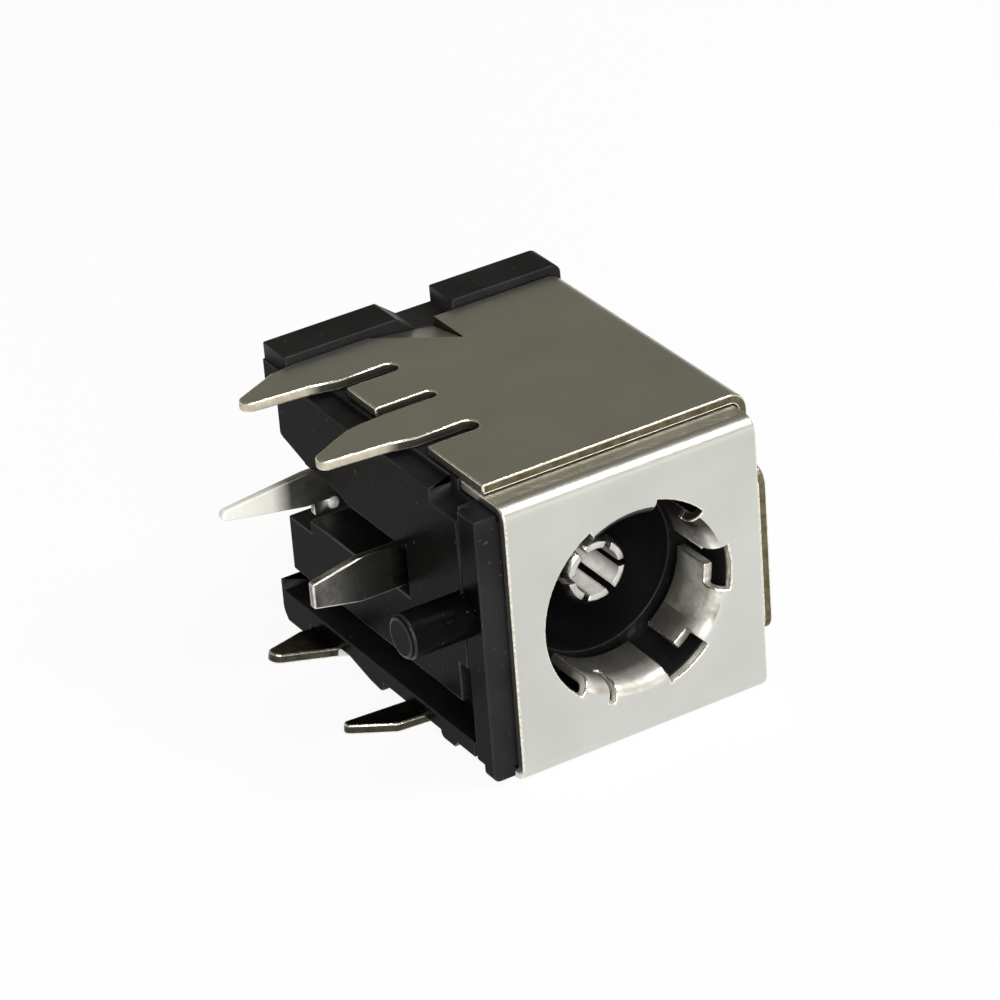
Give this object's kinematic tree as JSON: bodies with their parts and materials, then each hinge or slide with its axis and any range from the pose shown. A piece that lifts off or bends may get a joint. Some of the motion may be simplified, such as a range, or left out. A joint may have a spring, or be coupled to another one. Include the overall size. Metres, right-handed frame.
{
  "type": "dc barrel jack",
  "caption": "Board-mounted DC power socket for a barrel plug: moulded housing in a folded metal shell with solder legs, rolled-in fingers round the mouth and a slotted centre pin.",
  "frame": {"origin": "on the plug axis, in the plane of the face round the mouth", "axes": "-Y out of the mouth, the way the plug leaves; -X from the plug axis to the board, along the legs and the peg; +Z across the board, towards the wall whose flap lies under it"},
  "size_m": [0.014, 0.014, 0.0108],
  "materials": {
    "black_plastic": "moulded nylon, slight sheen",
    "nickel_plate": "satin nickel plate on sheet steel, bright cut edges",
    "pin_plate": "bright nickel plate on turned brass",
    "tin_plate": "bright tin plate on copper alloy strip"
  },
  "bodies": {
    "root": {"housing": "black_plastic", "shell": "nickel_plate", "centre_pin": "pin_plate", "centre_terminal": "tin_plate", "sleeve_contact": "tin_plate"}
  },
  "joints": []
}
